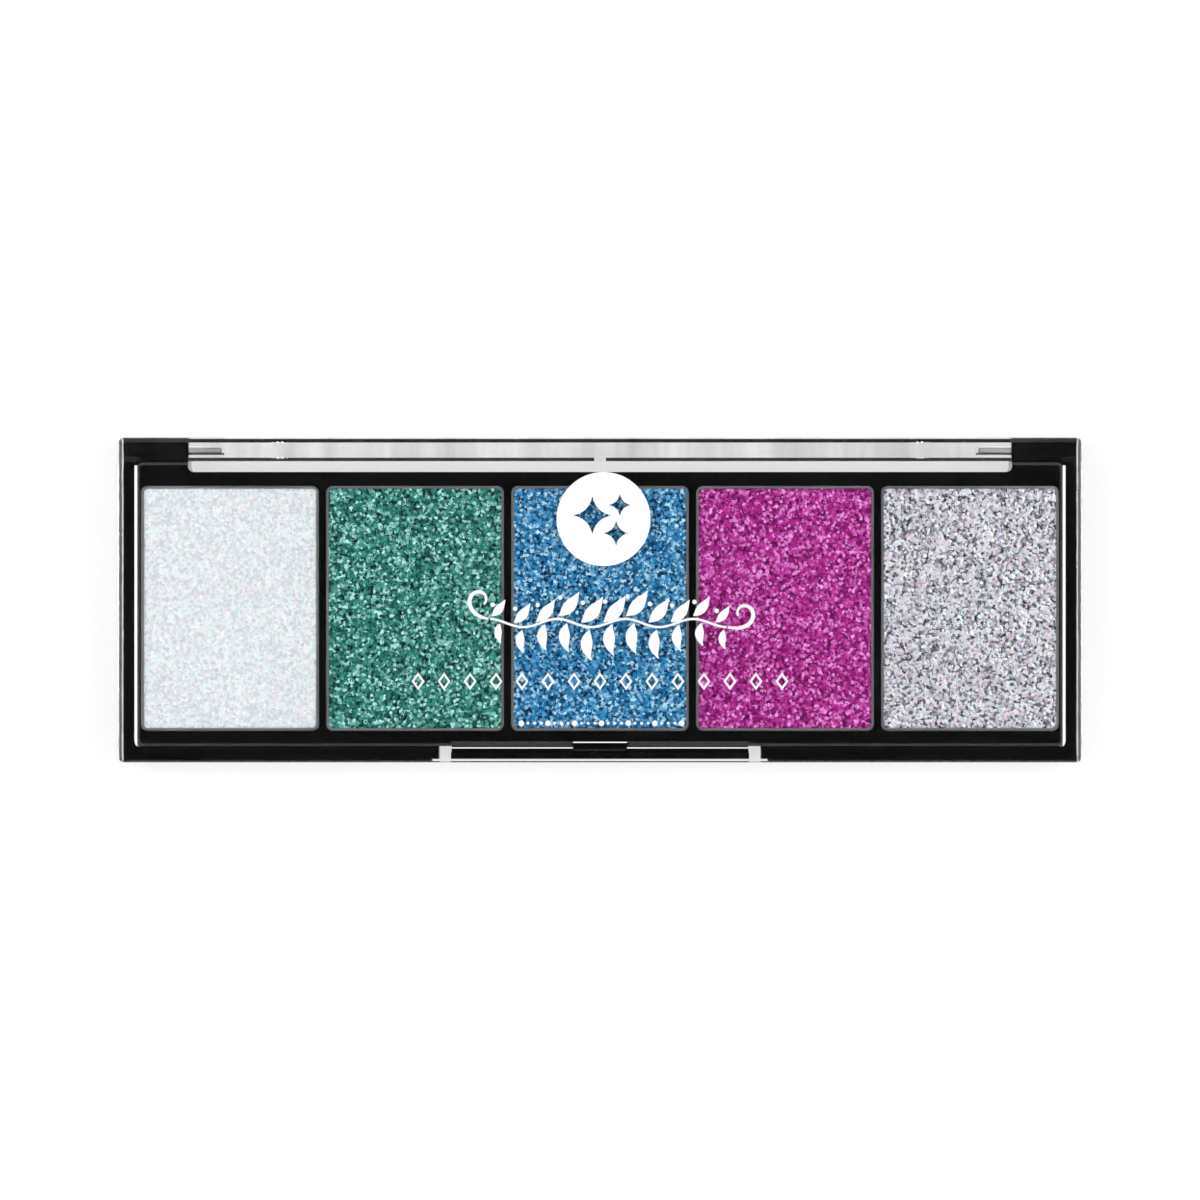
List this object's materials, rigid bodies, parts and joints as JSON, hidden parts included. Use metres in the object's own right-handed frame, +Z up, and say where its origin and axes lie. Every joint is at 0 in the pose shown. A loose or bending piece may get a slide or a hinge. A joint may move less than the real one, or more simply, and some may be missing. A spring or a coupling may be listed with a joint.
{
  "type": "eyeshadow palette",
  "caption": "Slim rectangular eyeshadow palette: a black tray of pressed-glitter pans under a clear flat lid that is hinged along one long side.",
  "frame": {"origin": "middle of the tray's footprint, on the surface that the palette lies on", "axes": "+X along the row of pans, +Y towards the hinge, +Z up through the lid"},
  "size_m": [0.13, 0.0438, 0.008],
  "materials": {
    "black_plastic": "gloss",
    "clear_plastic": "polished",
    "pin_steel": "satin",
    "pan_metal": "satin",
    "hot_melt": "satin",
    "label_paper": "satin",
    "lid_ink": "satin",
    "glitter_white": "satin",
    "glitter_green": "satin",
    "glitter_blue": "satin",
    "glitter_magenta": "satin",
    "glitter_silver": "satin"
  },
  "bodies": {
    "base": {"base_tray": "black_plastic", "hinge_pin_left": "pin_steel", "hinge_pin_right": "pin_steel", "base_label": "label_paper", "pan_white": "pan_metal", "glitter_white": "glitter_white", "glue_pad_white": "hot_melt", "pan_green": "pan_metal", "glitter_green": "glitter_green", "glue_pad_green": "hot_melt", "pan_blue": "pan_metal", "glitter_blue": "glitter_blue", "glue_pad_blue": "hot_melt", "pan_magenta": "pan_metal", "glitter_magenta": "glitter_magenta", "glue_pad_magenta": "hot_melt", "pan_silver": "pan_metal", "glitter_silver": "glitter_silver", "glue_pad_silver": "hot_melt"},
    "lid": {"lid": "clear_plastic"}
  },
  "joints": [
    {"name": "lid_hinge", "type": "hinge", "parent": "base", "child": "lid", "pos_m": [0, 0.02022, 0.0034], "axis": [-1, 0, 0], "range_deg": [0, 115]}
  ]
}
